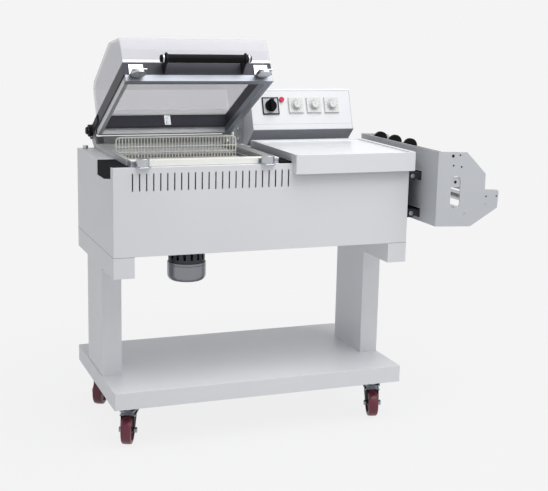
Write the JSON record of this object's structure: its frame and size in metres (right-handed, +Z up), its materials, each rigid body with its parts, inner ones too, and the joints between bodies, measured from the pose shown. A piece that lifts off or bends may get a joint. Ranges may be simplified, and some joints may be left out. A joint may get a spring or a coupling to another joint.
{
  "type": "l bar sealer",
  "caption": "Bench sealer with L-shaped jaws, hinged clear shrink hood over a heated chamber, packing table, console, sliding film rack and castored stand.",
  "frame": {"origin": "middle of the bounding box at the floor", "axes": "+Z up, +X towards the film rack, -Y towards the operator"},
  "size_m": [1.233, 0.665, 1.2335],
  "materials": {
    "white_paint": "smooth light powder coat",
    "grey_paint": "smooth light grey powder coat",
    "black_paint": "satin black paint",
    "zinc_steel": "bright zinc plating",
    "bare_steel": "bare steel",
    "jaw_aluminium": "extruded aluminium",
    "seal_strip": "cream heat-proof glass cloth over rubber",
    "cream_coating": "cream plastic-coated wire",
    "smoke_acrylic": "clear grey-smoke acrylic",
    "black_plastic": "moulded black plastic",
    "white_plastic": "moulded pale grey plastic",
    "gasket_rubber": "soft gasket",
    "soft_rubber": "black rubber",
    "maroon_wheel": "maroon rubber tread",
    "red_lens": "red lens"
  },
  "bodies": {
    "machine": {"base_shelf": "white_paint", "left_leg": "white_paint", "right_leg": "white_paint", "caster_plates": "zinc_steel", "floor_pan": "white_paint", "front_panel": "white_paint", "left_side_panel": "white_paint", "right_side_panel": "white_paint", "rear_panel": "white_paint", "deck_plate": "white_paint", "corner_guard": "black_plastic", "supply_gland": "black_plastic", "chamber_tub": "bare_steel", "heater_elements": "bare_steel", "air_baffle": "bare_steel", "lower_jaw_front": "jaw_aluminium", "lower_jaw_side": "jaw_aluminium", "jaw_strips": "seal_strip", "film_guard_strip": "black_plastic", "chamber_seat": "grey_paint", "chamber_gasket": "gasket_rubber", "holding_magnets": "zinc_steel", "hinge_brackets": "grey_paint", "hinge_shaft": "bare_steel", "counter_springs": "bare_steel", "rear_rail": "grey_paint", "console_case": "white_paint", "control_bezels": "zinc_steel", "indicator_lamp": "red_lens", "work_table": "white_paint", "rack_rails": "zinc_steel"},
    "hood": {"hood_shell": "smoke_acrylic", "hood_frame": "black_paint", "hood_arms": "black_paint", "upper_jaw": "jaw_aluminium", "hood_skirt": "jaw_aluminium", "hood_fittings": "zinc_steel", "handle_brackets": "black_paint", "handle_grip": "black_plastic"},
    "film_rack": {"film_rack_frame": "grey_paint"},
    "fork_front_left": {"caster_fork_front_left": "black_paint"},
    "wheel_front_left": {"caster_wheel_front_left": "maroon_wheel"},
    "fork_front_right": {"caster_fork_front_right": "black_paint"},
    "wheel_front_right": {"caster_wheel_front_right": "maroon_wheel"},
    "fork_rear_left": {"caster_fork_rear_left": "black_paint"},
    "wheel_rear_left": {"caster_wheel_rear_left": "maroon_wheel"},
    "fork_rear_right": {"caster_fork_rear_right": "black_paint"},
    "wheel_rear_right": {"caster_wheel_rear_right": "maroon_wheel"},
    "basket": {"basket": "cream_coating"},
    "fan_impeller": {"fan_impeller": "bare_steel"},
    "switch_knob": {"switch_knob": "black_plastic"},
    "seal_time_knob": {"seal_time_knob": "white_plastic"},
    "shrink_time_knob": {"shrink_time_knob": "white_plastic"},
    "temperature_knob": {"temperature_knob": "white_plastic"},
    "lower_film_roller": {"lower_film_roller": "bare_steel"},
    "outer_film_roller": {"outer_film_roller": "bare_steel"},
    "tension_roller": {"tension_roller": "black_paint"},
    "perforator": {"perforator": "soft_rubber"}
  },
  "joints": [
    {"name": "hood_hinge", "type": "hinge", "parent": "machine", "child": "hood", "pos_m": [-0.333, 0.29653, 0.921], "axis": [1, 0, 0], "range_deg": [0, 26.7], "stiffness_Nm_per_rad": 24, "springref_deg": -57.3},
    {"name": "swivel_front_left", "type": "hinge", "parent": "machine", "child": "fork_front_left", "pos_m": [-0.5515, -0.15247, 0.11], "axis": [0, 0, 1], "continuous": true},
    {"name": "roll_front_left", "type": "hinge", "parent": "fork_front_left", "child": "wheel_front_left", "pos_m": [-0.56289, -0.17805, 0.045], "axis": [0.9135, -0.4067, 0], "continuous": true},
    {"name": "swivel_front_right", "type": "hinge", "parent": "machine", "child": "fork_front_right", "pos_m": [0.2785, -0.15247, 0.11], "axis": [0, 0, 1], "continuous": true},
    {"name": "roll_front_right", "type": "hinge", "parent": "fork_front_right", "child": "wheel_front_right", "pos_m": [0.27078, -0.17939, 0.045], "axis": [0.9613, -0.2756, 0], "continuous": true},
    {"name": "swivel_rear_left", "type": "hinge", "parent": "machine", "child": "fork_rear_left", "pos_m": [-0.5515, 0.23153, 0.11], "axis": [0, 0, 1], "continuous": true},
    {"name": "roll_rear_left", "type": "hinge", "parent": "fork_rear_left", "child": "wheel_rear_left", "pos_m": [-0.56507, 0.20704, 0.045], "axis": [0.8746, -0.4848, 0], "continuous": true},
    {"name": "swivel_rear_right", "type": "hinge", "parent": "machine", "child": "fork_rear_right", "pos_m": [0.2785, 0.23153, 0.11], "axis": [0, 0, 1], "continuous": true},
    {"name": "roll_rear_right", "type": "hinge", "parent": "fork_rear_right", "child": "wheel_rear_right", "pos_m": [0.27268, 0.20414, 0.045], "axis": [0.9781, -0.2079, 0], "continuous": true},
    {"name": "basket_lift", "type": "slide", "parent": "machine", "child": "basket", "axis": [0, 0, 1], "range_m": [0, 0.06]},
    {"name": "fan_spin", "type": "hinge", "parent": "machine", "child": "fan_impeller", "pos_m": [-0.3375, -0.04347, 0.6], "axis": [0, 0, 1], "continuous": true},
    {"name": "switch_turn", "type": "hinge", "parent": "machine", "child": "switch_knob", "pos_m": [0.0385, 0.22448, 1.00321], "axis": [0, -0.943, 0.3328], "range_deg": [-90, 0]},
    {"name": "seal_time_knob_turn", "type": "hinge", "parent": "machine", "child": "seal_time_knob", "pos_m": [0.1325, 0.22515, 1.0051], "axis": [0, -0.943, 0.3328], "range_deg": [-150, 150]},
    {"name": "shrink_time_knob_turn", "type": "hinge", "parent": "machine", "child": "shrink_time_knob", "pos_m": [0.1995, 0.22515, 1.0051], "axis": [0, -0.943, 0.3328], "range_deg": [-150, 150]},
    {"name": "temperature_knob_turn", "type": "hinge", "parent": "machine", "child": "temperature_knob", "pos_m": [0.2665, 0.22515, 1.0051], "axis": [0, -0.943, 0.3328], "range_deg": [-150, 150]},
    {"name": "rack_slide", "type": "slide", "parent": "machine", "child": "film_rack", "axis": [0, 1, 0], "range_m": [-0.05, 0.1]},
    {"name": "lower_film_roller_spin", "type": "hinge", "parent": "film_rack", "child": "lower_film_roller", "pos_m": [0.4935, -0.05347, 0.705], "axis": [0, 1, 0], "continuous": true},
    {"name": "outer_film_roller_spin", "type": "hinge", "parent": "film_rack", "child": "outer_film_roller", "pos_m": [0.5695, -0.05347, 0.733], "axis": [0, 1, 0], "continuous": true},
    {"name": "tension_roller_spin", "type": "hinge", "parent": "film_rack", "child": "tension_roller", "pos_m": [0.4575, -0.05347, 0.806], "axis": [0, 1, 0], "continuous": true},
    {"name": "perforator_spin", "type": "hinge", "parent": "film_rack", "child": "perforator", "pos_m": [0.4435, -0.05347, 0.889], "axis": [0, 1, 0], "continuous": true}
  ]
}
